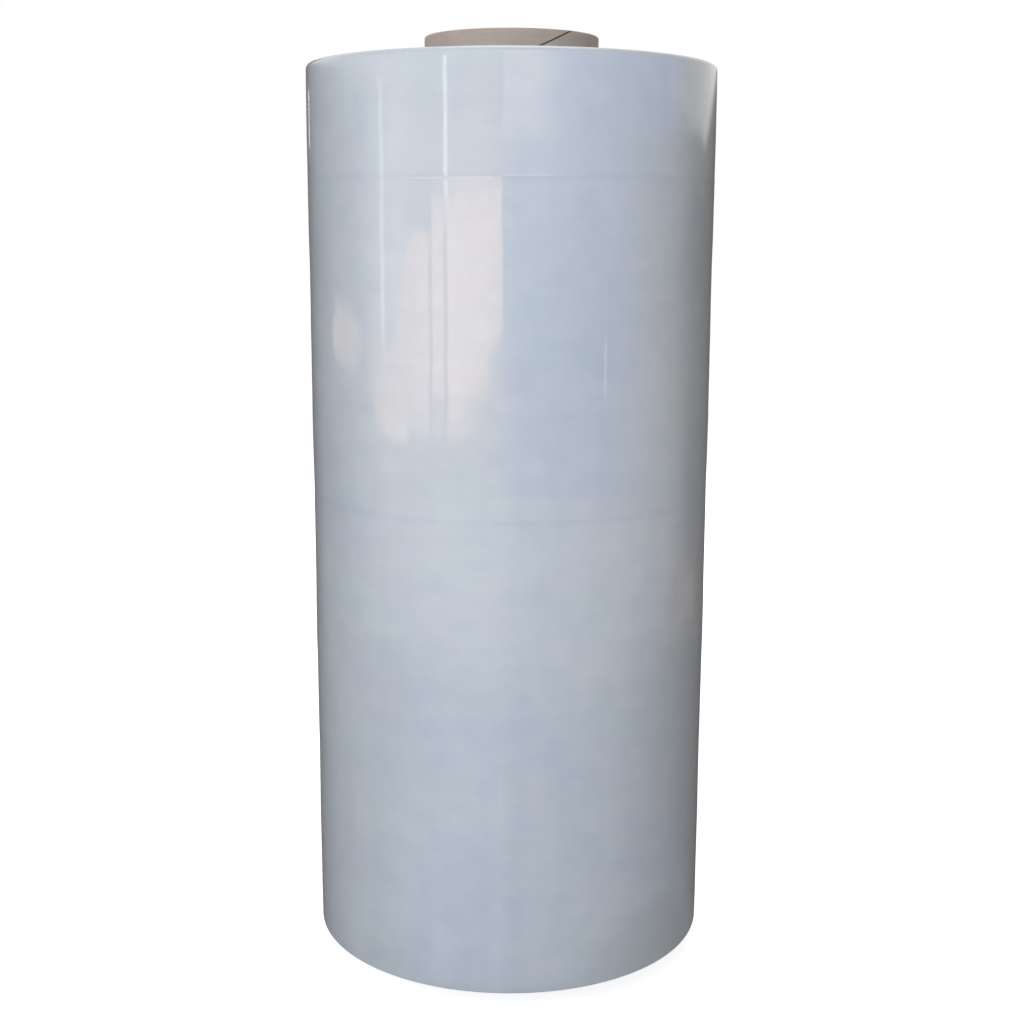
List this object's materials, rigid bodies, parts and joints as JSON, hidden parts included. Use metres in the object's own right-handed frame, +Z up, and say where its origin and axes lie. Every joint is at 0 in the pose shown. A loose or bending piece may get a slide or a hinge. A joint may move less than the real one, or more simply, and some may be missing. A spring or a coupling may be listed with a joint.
{
  "type": "stretch wrap roll",
  "caption": "Upright roll of glossy stretch wrap film, wound on a longer spiral-wound cardboard core with an open bore.",
  "frame": {"origin": "centre of the core's lower end face, on the roll's axis", "axes": "+Z up along the roll's axis, -Y towards the viewer of the picture"},
  "size_m": [0.2288, 0.2288, 0.532],
  "materials": {
    "core_board": "matt grey-brown board",
    "stretch_film": "glossy, milky pale blue-grey film wound in many turns"
  },
  "bodies": {
    "root": {"cardboard_core": "core_board", "wound_film": "stretch_film"}
  },
  "joints": []
}
